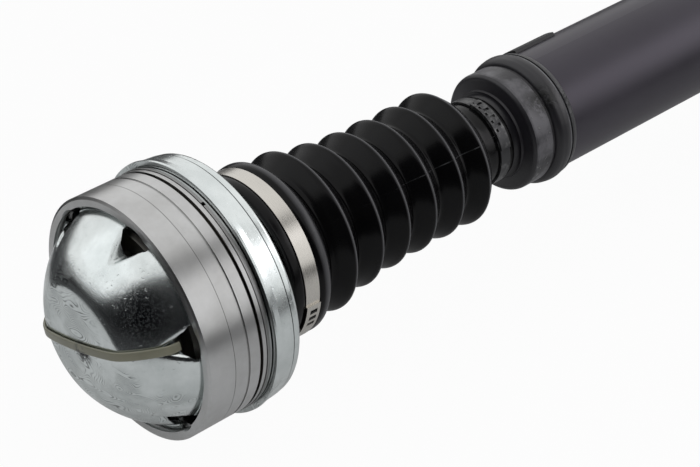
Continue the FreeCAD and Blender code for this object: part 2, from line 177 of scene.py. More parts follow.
def paint(node, material):
    """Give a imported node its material."""
    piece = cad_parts[node]
    piece.data.materials.clear()
    piece.data.materials.append(material)


ground, nodes, links, shader = new_material("ground_ring", (0.50, 0.495, 0.48), 1.0, 0.3)
place, split = object_position(nodes, links)
lathe = turned_position(nodes, links, split, 5200.0, 5200.0, 0.7)
marks = noise(nodes, links, lathe, 1.0, 3.0, 0.6)
stain = noise(nodes, links, place, 48.0, 5.0, 0.6)
tone = colours(nodes, links, ramp(nodes, links, stain, 0, 1, 0.35, 0.7),
               (0.565, 0.567, 0.565), (0.435, 0.434, 0.428))
scribe = within(nodes, links, split.outputs["X"], face + 11.5 * mm, 0.13 * mm)
tone = tint(nodes, links, tone, (0.16, 0.16, 0.155), scribe)
# Painted shade: the deep grooves behind the scribed line are darkened, with old oil in them as well.
behind = ramp(nodes, links, split.outputs["X"], 0, 1, face + 12 * mm, face + 12.5 * mm)
recess_shade = ramp(nodes, links, radius_round(nodes, links, split), 1, 0, 47.0 * mm, 47.6 * mm)
groove_shade = product(nodes, links, recess_shade, behind)
links.new(tint(nodes, links, tone, (0.10, 0.095, 0.085), groove_shade), shader.inputs["Base Color"])
links.new(ramp(nodes, links, marks, 0.24, 0.36), shader.inputs["Roughness"])
bump(nodes, links, shader, marks, 0.12, 0.02 * mm)
paint("outer_race", ground)


# Cage, balls and inner race
# The cage and the inner race are hardened steel with a brown-grey phosphate skin, thinly oiled, and the balls
# are polished. They go into the ring one by one while the cage is tipped.
hardened, nodes, links, shader = new_material("hardened_cage", (0.48, 0.47, 0.44), 1.0, 0.34)
place, split = object_position(nodes, links)
lathe = turned_position(nodes, links, split, 2600.0, 2600.0, 1.0)
marks = noise(nodes, links, lathe, 1.0, 2.0)
oil = noise(nodes, links, place, 90.0, 4.0)
links.new(colours(nodes, links, ramp(nodes, links, oil, 0, 1, 0.3, 0.75), (0.56, 0.55, 0.52), (0.34, 0.325, 0.29)),
          shader.inputs["Base Color"])
links.new(ramp(nodes, links, oil, 0.2, 0.5), shader.inputs["Roughness"])
bump(nodes, links, shader, marks, 0.2, 0.02 * mm)
for node in ("ball_cage", "inner_race"):
    paint(node, hardened)

polished, nodes, links, shader = new_material("polished_ball", (0.66, 0.66, 0.66), 1.0, 0.08)
place = nodes.new("ShaderNodeTexCoord").outputs["Object"]
film = noise(nodes, links, place, 160.0, 3.0)
links.new(ramp(nodes, links, film, 0.05, 0.2), shader.inputs["Roughness"])
bump(nodes, links, shader, film, 0.05, 0.01 * mm)
for number in range(1, 7):
    paint("ball_" + str(number), polished)


# Stop cap
# A cap of 1.5 mm steel sheet is drawn into a dome with a flatter crown, dented in six places over the ball
# tracks and plated with bright zinc. Its flange seats in a counterbore of the ring and is pressed home there.
cap_sphere = 46.5
cap_centre = 20.9
crown_sphere = 148.0
cap_nose = 21.5
cap_wall = 1.5
crease = 0.32
track_angles = [math.radians(42 + 60 * number) for number in range(6)]
dent_low = 34.8
dent_slope = 9.5 / 7.6
dent_soft = 0.55
dent_keel = 0.8
dent_reach = 14
crown_r = 20


def dome_x(r):
    """Where the dome's skin lies in front of the ring's face, at a radius r, in millimetres."""
    side = cap_centre - math.sqrt(cap_sphere ** 2 - r ** 2)
    crown = crown_sphere - cap_nose - math.sqrt(crown_sphere ** 2 - r ** 2)
    return crease * math.log(math.exp(side / crease) + math.exp(crown / crease))


cap_line = [(4.0, 44.3), (3.3, 44.3), (2.8, 44.2), (2.55, 43.9), (2.5, 43.5), (2.3, 43.1), (1.7, 42.75)]
step = 0.8
edge_r = 42.4
cap_line += [(dome_x(edge_r - step * i), edge_r - step * i) for i in range(int((edge_r - 1.5) / step))]
bpy.ops.mesh.primitive_circle_add(vertices=288, radius=cap_line[0][1] * mm,
                                  location=(face + cap_line[0][0] * mm, 0, 0), rotation=(0, math.pi / 2, 0))
cap = bpy.context.object
cap.name = "pressed_cap"
bpy.ops.object.transform_apply(location=True, rotation=True, scale=True)
bpy.ops.object.mode_set(mode="EDIT")
bpy.ops.mesh.select_all(action="SELECT")
for (x0, r0), (x1, r1) in zip(cap_line, cap_line[1:]):
    bpy.ops.mesh.extrude_edges_move(TRANSFORM_OT_translate={"value": ((x1 - x0) * mm, 0, 0)})
    bpy.ops.transform.resize(value=(1, r1 / r0, r1 / r0), center_override=(face + x1 * mm, 0, 0))
bpy.ops.mesh.merge(type="CENTER")
bpy.ops.mesh.select_all(action="SELECT")
bpy.ops.mesh.normals_make_consistent(inside=False)
bpy.ops.object.mode_set(mode="OBJECT")
for vertex in cap.data.vertices:
    y, z = vertex.co.y / mm, vertex.co.z / mm
    for angle in track_angles:
        out = y * math.cos(angle) + z * math.sin(angle)
        side = -y * math.sin(angle) + z * math.cos(angle)
        if out > crown_r and abs(side) < dent_reach:
            limit = dent_low + (math.hypot(side, dent_keel) - dent_keel) * dent_slope
            gap = (limit - out) / dent_soft
            sunk = limit - dent_soft * math.log1p(math.exp(gap)) if gap < 30 else out
            vertex.co.y = (sunk * math.cos(angle) - side * math.sin(angle)) * mm
            vertex.co.z = (sunk * math.sin(angle) + side * math.cos(angle)) * mm
wall = cap.modifiers.new("wall", "SOLIDIFY")
wall.thickness = cap_wall * mm
wall.offset = -1
bpy.ops.object.modifier_apply(modifier="wall")

opening_front = -3.1
opening_back = 8.0
opening_half = 6.6
opening_tip = 3.4
opening_r = 39
opening_depth = 20
for angle in track_angles:
    bpy.ops.object.select_all(action="DESELECT")
    middle = (opening_front + opening_back) / 2
    size = (opening_back - opening_front, opening_depth, 2 * opening_half)
    bpy.ops.mesh.primitive_cube_add(size=1, location=(face + middle * mm, opening_r * mm, 0),
                                    scale=[length * mm for length in size])
    cutter = bpy.context.object
    bpy.ops.object.transform_apply(location=True, rotation=True, scale=True)
    bpy.ops.object.mode_set(mode="EDIT")
    bpy.ops.mesh.subdivide(number_cuts=3)
    bpy.ops.object.mode_set(mode="OBJECT")
    # The front row of points narrows to the tip, and the second row goes to the ring's face
    front_row, second_row = 1, 4
    for vertex in cutter.data.vertices:
        depth = (vertex.co.x - face) / mm - opening_front
        if depth < front_row:
            vertex.co.z *= opening_tip / opening_half
        elif depth < second_row:
            vertex.co.x = face
    cutter.rotation_euler = (angle, 0, 0)
    bpy.ops.object.transform_apply(location=True, rotation=True, scale=True)
    bpy.ops.object.select_all(action="DESELECT")
    cap.select_set(True)
    bpy.context.view_layer.objects.active = cap
    opening = cap.modifiers.new("opening", "BOOLEAN")
    opening.operation = "DIFFERENCE"
    opening.solver = "EXACT"
    opening.object = cutter
    bpy.ops.object.modifier_apply(modifier="opening")
    bpy.data.objects.remove(cutter)
bpy.ops.object.shade_smooth_by_angle(angle=math.radians(35))

zinc, nodes, links, shader = new_material("bright_zinc", (0.68, 0.73, 0.75), 1.0, 0.2)
place, split = object_position(nodes, links)
lathe = turned_position(nodes, links, split, 700.0, 700.0, 5.0)
drawn = noise(nodes, links, lathe, 1.0, 4.0, 0.62)
cloud = noise(nodes, links, place, 42.0, 5.0, 0.62)
speck = noise(nodes, links, place, 620.0, 3.0, 0.6)
waves = noise(nodes, links, place, 75.0, 3.0, 0.5)
tone = colours(nodes, links, ramp(nodes, links, cloud, 0, 1, 0.38, 0.68),
               (0.745, 0.785, 0.78), (0.575, 0.615, 0.61))
links.new(ramp(nodes, links, cloud, 0.14, 0.3, 0.3, 0.7), shader.inputs["Roughness"])
bump(nodes, links, shader, waves, 0.5, 0.22 * mm)
bump(nodes, links, shader, drawn, 0.3, 0.07 * mm)
bump(nodes, links, shader, speck, 0.25, 0.03 * mm)
pits = noise(nodes, links, place, 620.0, 2.0, 0.5)
bump(nodes, links, shader, ramp(nodes, links, pits, 0, 1, 0.29, 0.33), 0.5, 0.06 * mm)


def near(nodes, links, place, centre, inner, outer):
    """One near a point given in millimetres, fading to zero between two distances from it."""
    node = nodes.new("ShaderNodeVectorMath")
    node.operation = "DISTANCE"
    node.inputs[1].default_value = [value * mm for value in centre]
    links.new(place, node.inputs[0])
    return ramp(nodes, links, node.outputs["Value"], 1, 0, inner * mm, outer * mm)


stretch = nodes.new("ShaderNodeMapping")
stretch.inputs["Rotation"].default_value = (math.radians(25), 0, math.radians(12))
stretch.inputs["Scale"].default_value = (125.0, 50.0, 100.0)
links.new(place, stretch.inputs["Vector"])
scales = noise(nodes, links, stretch.outputs[0], 1.0, 0.8, 0.4)
rings = nodes.new("ShaderNodeMath")
rings.operation = "PINGPONG"
rings.inputs[1].default_value = 0.013
links.new(scales, rings.inputs[0])
lines = ramp(nodes, links, rings.outputs[0], 1, 0, 0.001, 0.0065)
low_side = nodes.new("ShaderNodeVectorMath")
low_side.operation = "DOT_PRODUCT"
low_side.inputs[1].default_value = (0, -0.8, 1)
links.new(place, low_side.inputs[0])
marked = product(nodes, links, lines, ramp(nodes, links, low_side.outputs["Value"], 1, 0, 18 * mm, 24 * mm))
where = noise(nodes, links, place, 75.0, 3.0, 0.55)
marked = product(nodes, links, marked, ramp(nodes, links, where, 0, 1, 0.42, 0.56))
tone = tint(nodes, links, tone, (0.22, 0.235, 0.23), marked)
bump(nodes, links, shader, marked, 0.35, 0.04 * mm)
grit = ramp(nodes, links, noise(nodes, links, place, 1150.0, 3.0, 0.6), 0, 1, 0.44, 0.53)
grime = product(nodes, links, grit, near(nodes, links, place, (-22.5, -24, 21), 1, 13))
tone = tint(nodes, links, tone, (0.015, 0.02, 0.035), grime)
smear = ramp(nodes, links, noise(nodes, links, place, 480.0, 4.0, 0.65), 0, 1, 0.36, 0.5)
smudge = product(nodes, links, smear, near(nodes, links, place, (-34.5, -3.2, -1.4), 2.4, 5.4))
tone = tint(nodes, links, tone, (0.012, 0.012, 0.012), smudge)
# Painted shade: a dark line round the can at its small step.
can_step_shade = within(nodes, links, split.outputs["X"], face + 37.4 * mm, 0.3 * mm)
tone = tint(nodes, links, tone, (0.04, 0.045, 0.045), can_step_shade)
links.new(tone, shader.inputs["Base Color"])
cap.data.materials.append(zinc)
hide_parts("stop_cap")
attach(cap, "race")


# Rubber band
# A strip of olive rubber holds the joint together in its box. It is stretched over the cap and hooked into two
# opposite dents.
bpy.ops.object.select_all(action="DESELECT")
bpy.ops.curve.primitive_nurbs_path_add()
strip = bpy.context.object
strip.name = "retaining_band"
strip.data.dimensions = "3D"
lift = 0.85
strip_half = 1.2
strip_round = 0.55
line = [(-3.3, 38.0), (-5.6, 38.0), (-7.6, 37.5), (-10.0, 35.6)]
line += [(dome_x(r) - lift, r + 0.3) for r in (33.0, 29.5, 26.0, 22.0, 17.0, 9.0)]
line += [(-cap_nose - lift, 0.0)]
line += [(x, -r) for x, r in line[-2::-1]]
strip.data.splines.clear()
path = strip.data.splines.new("NURBS")
path.points.add(len(line) - 1)
for point, (x, r) in zip(path.points, line):
    point.co = (face + x * mm, r * mm, 0, 1)
path.order_u = 3
path.use_endpoint_u = True
path.resolution_u = 12
strip.data.extrude = strip_half * mm
strip.data.bevel_depth = strip_round * mm
strip.data.bevel_resolution = 3
strip.data.use_fill_caps = True
bpy.ops.object.convert(target="MESH")
strip.rotation_euler = (math.radians(162), 0, 0)
bpy.ops.object.transform_apply(location=True, rotation=True, scale=True)
bpy.ops.object.shade_smooth_by_angle(angle=math.radians(50))

olive, nodes, links, shader = new_material("olive_rubber", (0.24, 0.235, 0.17), 0.0, 0.3)
place = nodes.new("ShaderNodeTexCoord").outputs["Object"]
grain = noise(nodes, links, place, 700.0, 3.0)
patch = noise(nodes, links, place, 60.0, 3.0)
tone = colours(nodes, links, patch, (0.31, 0.30, 0.225), (0.175, 0.17, 0.12))
smear = ramp(nodes, links, noise(nodes, links, place, 480.0, 4.0, 0.65), 0, 1, 0.42, 0.6)
spot = near(nodes, links, place, (-35.5, -3.2, -0.6), 1.5, 4.5)
smudge = product(nodes, links, smear, spot)
links.new(tint(nodes, links, tone, (0.03, 0.03, 0.025), smudge), shader.inputs["Base Color"])
shader.inputs["Subsurface Weight"].default_value = 0.15
shader.inputs["Subsurface Radius"].default_value = (0.002, 0.0018, 0.001)
bump(nodes, links, shader, grain, 0.15, 0.04 * mm)
strip.data.materials.append(olive)
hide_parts("cap_band")
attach(strip, "race")


# Snap ring and circlip
# Spring wire rings, hardened dark. The large one is sprung into the last groove of the ring with its gap on top,
# and the circlip keeps the stub shaft in the inner race.
spring, nodes, links, shader = new_material("spring_wire", (0.30, 0.30, 0.30), 1.0, 0.36)
place, split = object_position(nodes, links)
lathe = turned_position(nodes, links, split, 3000.0, 3000.0, 2.0)
marks = noise(nodes, links, lathe, 1.0, 2.0)
links.new(ramp(nodes, links, marks, 0.28, 0.46), shader.inputs["Roughness"])
links.new(colours(nodes, links, marks, (0.36, 0.36, 0.355), (0.22, 0.22, 0.22)), shader.inputs["Base Color"])
bump(nodes, links, shader, marks, 0.15, 0.02 * mm)
for node in ("race_snap_ring", "stub_circlip"):
    paint(node, spring)


# Boot can
# The can is drawn from steel sheet, plated with the same zinc and pressed over the back of the ring. A small
# step runs round it near its rear edge, darkened along it with painted shade.
paint("boot_can", zinc)


# Large clamp
# A stainless strip, pulled tight round the boot. Its end overlaps, and hooks hold it in a row of windows, which
# are darkened with painted shade.
stainless, nodes, links, shader = new_material("stainless_strip", (0.68, 0.655, 0.61), 1.0, 0.26)
place, split = object_position(nodes, links)
lathe = turned_position(nodes, links, split, 4200.0, 1200.0, 1.0)
rolled = noise(nodes, links, lathe, 1.0, 3.0)
smear = noise(nodes, links, place, 70.0, 4.0)
tone = colours(nodes, links, smear, (0.66, 0.635, 0.59), (0.52, 0.50, 0.46))
# Painted shade: the lock's windows, where the sunk inner layer shows, are tinted near black.
lock = within(nodes, links, angle_round(nodes, links, split), math.radians(-162.5), math.radians(9.5))
recess_shade = ramp(nodes, links, radius_round(nodes, links, split), 1, 0, 34.62 * mm, 34.72 * mm)
sunk = product(nodes, links, lock, recess_shade)
links.new(tint(nodes, links, tone, (0.03, 0.03, 0.03), sunk), shader.inputs["Base Color"])
links.new(ramp(nodes, links, rolled, 0.2, 0.34), shader.inputs["Roughness"])
bump(nodes, links, shader, rolled, 0.12, 0.02 * mm)
paint("large_clamp", stainless)


# Bellows boot
# One moulding of glossy black rubber: a lip under the large clamp, six rounds that fold when the joint bends
# or slides, and a cuff under the small clamp. A faint moulding line runs along it. Thin lines of lighter grey
# are painted along each crest and on the lip as highlights.
def rounds(crests, valleys):
    """Rings of one stretch of bellows, from valley to valley: (x, radius) in millimetres."""
    rings = []
    for (xa, ra), (xc, rc), (xb, rb) in zip(valleys, crests, valleys[1:]):
        rise_x, rise_r = xa + 1.2, ra + 0.25
        shoulder_x, shoulder_r = xc - 2.1, rc - 1.3
        fall_x, fall_r = xc + 1.2, rc - 0.85
        foot_x, foot_r = xb - 1.1, rb + 0.3
        rings += [(xa + 0.5, ra), (rise_x, rise_r)]
        for t in (0.25, 0.5, 0.75):
            rings.append((rise_x + (shoulder_x - rise_x) * t, rise_r + (shoulder_r - rise_r) * t ** 0.92))
        rings += [(shoulder_x, shoulder_r), (xc - 1.3, rc - 0.62), (xc - 0.4, rc - 0.12), (xc + 0.25, rc),
                  (xc + 0.7, rc - 0.15), (fall_x, fall_r)]
        for t in (0.35, 0.7):
            rings.append((fall_x + (foot_x - fall_x) * t, fall_r + (foot_r - fall_r) * t))
        rings += [(foot_x, foot_r), (xb - 0.5, rb)]
    return rings


lip = [(38.2, 31.3), (38.2, 33.2), (38.6, 33.9), (39.2, 34.1), (42.4, 34.1), (42.9, 33.7), (43.1, 33.22),
       (49.8, 33.22), (50.0, 33.7), (50.5, 34.2), (51.6, 34.6), (53.4, 34.8), (54.6, 34.5), (55.6, 33.6)]
cuff = [(147.6, 25.2), (149.3, 21.6), (150.6, 19.4), (152.0, 18.2), (153.8, 17.75), (158.6, 17.7), (159.0, 17.3),
        (164.6, 17.3), (165.0, 17.7), (167.0, 17.7), (167.4, 17.3), (167.4, 16.0)]
crests = [(69.0, 32.9), (85.0, 29.9), (100.0, 28.5), (114.2, 28.1), (128.8, 28.0), (143.1, 28.2)]
valleys = [(61.5, 27.0), (77.0, 25.0), (92.5, 23.3), (107.0, 22.8), (121.5, 22.8), (136.0, 22.8)]

boot_wall = 1.5
# Painted highlight: lighter grey along the crests and the lip, at these places along the axis and this half width.
crest_highlight_half = 0.8
crest_highlight_at = [53.8, 55.0, 69.6, 85.6, 100.6, 114.8, 129.4, 143.6]
boot_rubber, nodes, links, shader = new_material("boot_rubber", (0.003, 0.003, 0.0035), 0.0, 0.24)
place, split = object_position(nodes, links)
skin = noise(nodes, links, place, 900.0, 3.0)
haze = noise(nodes, links, place, 45.0, 4.0)
skin_tone = colours(nodes, links, ramp(nodes, links, haze, 0, 1, 0.35, 0.75), (0.0022, 0.0021, 0.0024),
                    (0.0048, 0.0046, 0.005))
crest_highlight = nodes.new("ShaderNodeAttribute")
crest_highlight.attribute_name = "crest_highlight"
seam = within(nodes, links, angle_round(nodes, links, split), math.radians(142), math.radians(0.45))
bump(nodes, links, shader, skin, 0.12, 0.03 * mm)
late = ramp(nodes, links, split.outputs["X"], 0, 0.3, 98 * mm, 112 * mm)
broken = noise(nodes, links, place, 210.0, 2.0, 0.5)
late = product(nodes, links, late, ramp(nodes, links, broken, 0.25, 1, 0.45, 0.58))
# The painted crest highlight and the moulding line both turn the rubber lighter grey here.
highlight_and_seam = nodes.new("ShaderNodeMath")
highlight_and_seam.operation = "MAXIMUM"
links.new(crest_highlight.outputs["Fac"], highlight_and_seam.inputs[0])
links.new(product(nodes, links, late, seam), highlight_and_seam.inputs[1])
tone = tint(nodes, links, skin_tone, (0.17, 0.168, 0.175), highlight_and_seam.outputs[0])
links.new(tone, shader.inputs["Base Color"])
links.new(ramp(nodes, links, haze, 0.17, 0.27), shader.inputs["Roughness"])
shader.inputs["Specular IOR Level"].default_value = 0.15
bump(nodes, links, shader, seam, 1.0, 0.35 * mm)


def boot_piece(name, rings):
    """One stretch of the boot, drawn out ring by ring and given its wall."""
    bpy.ops.object.select_all(action="DESELECT")
    bpy.ops.mesh.primitive_circle_add(vertices=96, radius=rings[0][1] * mm, location=(rings[0][0] * mm, 0, 0),
                                      rotation=(0, math.pi / 2, 0))
    piece = bpy.context.object
    piece.name = name
    bpy.ops.object.transform_apply(location=True, rotation=True, scale=True)
    bpy.ops.object.mode_set(mode="EDIT")
    bpy.ops.mesh.select_all(action="SELECT")
    for (xa, ra), (xb, rb) in zip(rings, rings[1:]):
        bpy.ops.mesh.extrude_edges_move(TRANSFORM_OT_translate={"value": ((xb - xa) * mm, 0, 0)})
        bpy.ops.transform.resize(value=(1, rb / ra, rb / ra), center_override=(xb * mm, 0, 0))
    bpy.ops.mesh.select_all(action="SELECT")
    bpy.ops.mesh.normals_make_consistent(inside=False)
    bpy.ops.object.mode_set(mode="OBJECT")
    # Painted highlight: each point's share of the lighter grey laid along the crests.
    crest_glint = piece.data.attributes.new("crest_highlight", "FLOAT", "POINT")
    for vertex in piece.data.vertices:
        away = min(abs(vertex.co.x / mm - x) for x in crest_highlight_at)
        crest_glint.data[vertex.index].value = max(0.0, 1 - away / crest_highlight_half)
    wall = piece.modifiers.new("wall", "SOLIDIFY")
    wall.thickness = boot_wall * mm
    wall.offset = -1
    bpy.ops.object.modifier_apply(modifier="wall")
    smooth = piece.modifiers.new("smooth", "SUBSURF")
    smooth.levels = smooth.render_levels = 1
    bpy.ops.object.modifier_apply(modifier="smooth")
    bpy.ops.object.shade_smooth()
    piece.data.materials.append(boot_rubber)
    return piece


first = boot_piece("boot_lip", lip + [(57.6, 31.4), (59.4, 28.6), (60.4, 27.4), (61.0, 27.0), (61.5, 27.0)])
second = boot_piece("boot_round_a", [(61.5, 27.0)] + rounds(crests[0:1], valleys[0:2]) + [(77.0, 25.0)])
third = boot_piece("boot_round_b", [(77.0, 25.0)] + rounds(crests[1:2], valleys[1:3]) + [(92.5, 23.3)])
fourth = boot_piece("boot_round_c", [(92.5, 23.3)] + rounds(crests[2:3], valleys[2:4]) + [(107.0, 22.8)])
last = rounds(crests[3:6], valleys[3:6] + [(151.0, 19.0)])[:-4]
fifth = boot_piece("boot_cuff", [(107.0, 22.8)] + last + cuff)
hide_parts("boot_front")
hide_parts("boot_rear")
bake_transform(first)
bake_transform(second)
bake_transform(third)
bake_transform(fourth)
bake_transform(fifth)


# Small clamp
# A black coated strip with a row of punched windows, pulled tight round the cuff and hooked into them. Its
# coating is scraped in places, and light flecks round the windows are painted glints.
coated, nodes, links, shader = new_material("coated_strip", (0.05, 0.05, 0.052), 0.55, 0.34)
place, split = object_position(nodes, links)
worn = noise(nodes, links, place, 260.0, 5.0, 0.6)
# Painted glints: light flecks in the stretch of the punched windows.
punched = within(nodes, links, angle_round(nodes, links, split), math.radians(107), math.radians(33))
glint_flecks = ramp(nodes, links, noise(nodes, links, place, 430.0, 3.0, 0.6), 0, 1, 0.5, 0.66)
slot_glints = product(nodes, links, punched, glint_flecks)
tone = colours(nodes, links, ramp(nodes, links, worn, 0, 1, 0.52, 0.7), (0.045, 0.045, 0.047), (0.16, 0.16, 0.16))
links.new(tint(nodes, links, tone, (0.13, 0.13, 0.13), slot_glints), shader.inputs["Base Color"])
links.new(ramp(nodes, links, worn, 0.28, 0.46), shader.inputs["Roughness"])
bump(nodes, links, shader, worn, 0.2, 0.05 * mm)
paint("small_clamp", coated)


# Stub shaft
# Turned steel with rolled splines at both ends, greased inside the boot. It is pressed into the inner race and
# slides in the sleeve.
greased, nodes, links, shader = new_material("greased_shaft", (0.42, 0.415, 0.40), 1.0, 0.3)
place, split = object_position(nodes, links)
lathe = turned_position(nodes, links, split, 3200.0, 3200.0, 1.0)
marks = noise(nodes, links, lathe, 1.0, 3.0)
grease = noise(nodes, links, place, 60.0, 4.0)
links.new(colours(nodes, links, grease, (0.46, 0.455, 0.44), (0.28, 0.26, 0.22)), shader.inputs["Base Color"])
links.new(ramp(nodes, links, grease, 0.18, 0.42), shader.inputs["Roughness"])
bump(nodes, links, shader, marks, 0.2, 0.03 * mm)
paint("stub_shaft", greased)


# Slip sleeve, tube, welds and balance weight
# The forged sleeve is arc welded to the drawn steel tube, a steel strip is spot welded on to balance it, and the
# whole is dipped in satin black paint. The sleeve's grey band and burnt patch come from the welding, and the
# thin lighter line round its collar edge is a painted highlight.
black, nodes, links, shader = new_material("satin_black", (0.019, 0.0178, 0.021), 0.0, 0.34)
place, split = object_position(nodes, links)
lathe = turned_position(nodes, links, split, 420.0, 420.0, 1.2)
peel = noise(nodes, links, place, 620.0, 3.0, 0.55)
haze = noise(nodes, links, place, 30.0, 5.0, 0.6)
faint = noise(nodes, links, lathe, 1.0, 3.0)
links.new(colours(nodes, links, ramp(nodes, links, haze, 0, 1, 0.3, 0.75), (0.017, 0.0152, 0.0195),
                  (0.028, 0.0252, 0.0315)), shader.inputs["Base Color"])
links.new(ramp(nodes, links, haze, 0.3, 0.42), shader.inputs["Roughness"])
bump(nodes, links, shader, peel, 0.18, 0.05 * mm)
bump(nodes, links, shader, faint, 0.1, 0.05 * mm)
shader.inputs["Specular Tint"].default_value = (0.92, 0.85, 1.0, 1)
paint("shaft_tube", black)

strip_skin, nodes, links, shader = new_material("weight_paint", (0.008, 0.008, 0.009), 0.0, 0.5)
place = nodes.new("ShaderNodeTexCoord").outputs["Object"]
grain = noise(nodes, links, place, 420.0, 4.0)
links.new(colours(nodes, links, grain, (0.007, 0.007, 0.008), (0.012, 0.012, 0.013)), shader.inputs["Base Color"])
links.new(ramp(nodes, links, grain, 0.45, 0.6), shader.inputs["Roughness"])
bump(nodes, links, shader, grain, 0.2, 0.04 * mm)
paint("balance_weight", strip_skin)

sleeve_skin, nodes, links, shader = new_material("painted_sleeve", (0.02, 0.019, 0.022), 0.0, 0.38)
place, split = object_position(nodes, links)
rough = noise(nodes, links, place, 240.0, 5.0, 0.62)
patch = noise(nodes, links, place, 75.0, 5.0, 0.6)
spatter = noise(nodes, links, place, 420.0, 2.0, 0.4)
band = within(nodes, links, split.outputs["X"], 177.4 * mm, 4.6 * mm)
dull = product(nodes, links, band, ramp(nodes, links, patch, 0, 1, 0.38, 0.56))
tone = colours(nodes, links, dull, (0.012, 0.011, 0.014), (0.115, 0.111, 0.12))
drops = product(nodes, links, band, ramp(nodes, links, spatter, 0, 1, 0.68, 0.72))
tone = tint(nodes, links, tone, (0.15, 0.15, 0.15), drops)
# Painted highlight: a thin lighter line round the collar's edge.
collar_edge_highlight = within(nodes, links, split.outputs["X"], 190.2 * mm, 0.4 * mm)
worn = product(nodes, links, collar_edge_highlight, ramp(nodes, links, patch, 0.3, 1, 0.35, 0.55))
tone = tint(nodes, links, tone, (0.13, 0.13, 0.14), worn)
scorch = ramp(nodes, links, noise(nodes, links, place, 330.0, 4.0, 0.65), 0, 1, 0.38, 0.5)
burnt = near(nodes, links, place, (182, -17.5, 20.5), 3, 9)
scorch = product(nodes, links, scorch, burnt)
links.new(tint(nodes, links, tone, (0.003, 0.003, 0.003), scorch), shader.inputs["Base Color"])
links.new(ramp(nodes, links, patch, 0.3, 0.5), shader.inputs["Roughness"])
bump(nodes, links, shader, rough, 0.35, 0.12 * mm)
bump(nodes, links, shader, drops, 0.8, 0.3 * mm)
bump(nodes, links, shader, scorch, 0.6, 0.25 * mm)
paint("slip_sleeve", sleeve_skin)

beaded, nodes, links, shader = new_material("painted_weld", (0.024, 0.024, 0.026), 0.0, 0.36)
place, split = object_position(nodes, links)
lathe = turned_position(nodes, links, split, 60.0, 60.0, 14.0)
ripple = noise(nodes, links, lathe, 1.0, 3.0)
lumps = noise(nodes, links, place, 240.0, 4.0)
links.new(colours(nodes, links, lumps, (0.019, 0.019, 0.021), (0.04, 0.04, 0.042)), shader.inputs["Base Color"])
bump(nodes, links, shader, ripple, 0.7, 0.5 * mm)
bump(nodes, links, shader, lumps, 0.4, 0.2 * mm)
crust = ramp(nodes, links, noise(nodes, links, place, 700.0, 3.0, 0.6), 0, 1, 0.42, 0.56)
spot = near(nodes, links, place, (191.9, -19.7, 17), 1.5, 4)
crust = product(nodes, links, crust, spot)
bump(nodes, links, shader, crust, 1.0, 0.5 * mm)
for node in ("weld_front", "weld_rear"):
    paint(node, beaded)
paint("sleeve_plug", zinc)


# Yokes
# Steel forgings with a slightly grainy skin under the same black paint, machined where they meet their mates.
# The tube yoke is welded to the tube, and the flange yoke takes four bolts.
forged, nodes, links, shader = new_material("painted_forging", (0.022, 0.022, 0.024), 0.0, 0.42)
place = nodes.new("ShaderNodeTexCoord").outputs["Object"]
scale_marks = noise(nodes, links, place, 190.0, 5.0, 0.6)
pits = noise(nodes, links, place, 60.0, 4.0, 0.6)
links.new(colours(nodes, links, pits, (0.018, 0.018, 0.02), (0.036, 0.036, 0.038)), shader.inputs["Base Color"])
links.new(ramp(nodes, links, pits, 0.34, 0.52), shader.inputs["Roughness"])
bump(nodes, links, shader, scale_marks, 0.4, 0.25 * mm)
for node in ("tube_yoke", "flange_yoke"):
    paint(node, forged)


# Cross, bearing cups, seals and grease fitting
# A ground steel cross turns in four steel cups packed with needles, behind black rubber seals. Snap rings hold
# the cups in the yokes, and a plated fitting takes the grease gun.
raw, nodes, links, shader = new_material("raw_forging", (0.20, 0.195, 0.185), 0.9, 0.5)
place = nodes.new("ShaderNodeTexCoord").outputs["Object"]
scale_marks = noise(nodes, links, place, 260.0, 5.0, 0.6)
links.new(colours(nodes, links, scale_marks, (0.25, 0.245, 0.235), (0.13, 0.125, 0.12)),
          shader.inputs["Base Color"])
links.new(ramp(nodes, links, scale_marks, 0.4, 0.62), shader.inputs["Roughness"])
bump(nodes, links, shader, scale_marks, 0.35, 0.15 * mm)
paint("cross", raw)
paint("grease_fitting", zinc)

cup_steel, nodes, links, shader = new_material("cup_steel", (0.45, 0.45, 0.44), 1.0, 0.28)
place = nodes.new("ShaderNodeTexCoord").outputs["Object"]
smear = noise(nodes, links, place, 120.0, 4.0)
links.new(colours(nodes, links, smear, (0.5, 0.5, 0.49), (0.36, 0.355, 0.34)), shader.inputs["Base Color"])
links.new(ramp(nodes, links, smear, 0.2, 0.4), shader.inputs["Roughness"])
bump(nodes, links, shader, smear, 0.1, 0.03 * mm)

seal_rubber, nodes, links, shader = new_material("seal_rubber", (0.02, 0.02, 0.02), 0.0, 0.6)
place = nodes.new("ShaderNodeTexCoord").outputs["Object"]
grain = noise(nodes, links, place, 800.0, 3.0)
bump(nodes, links, shader, grain, 0.3, 0.05 * mm)
for number in range(1, 5):
    paint("bearing_cup_" + str(number), cup_steel)
    paint("cup_ring_" + str(number), spring)
    paint("trunnion_seal_" + str(number), seal_rubber)


# Floor, light and camera
# A plain pale floor under the shaft, soft boxes above it, and the camera where the photograph was taken.
bpy.ops.object.select_all(action="DESELECT")
bpy.ops.mesh.primitive_plane_add(size=12, location=(0.3, 0, -51.0 * mm))
floor = bpy.context.object
floor.name = "floor"
pale, nodes, links, shader = new_material("pale_floor", (0.62, 0.62, 0.62), 0.0, 0.7)


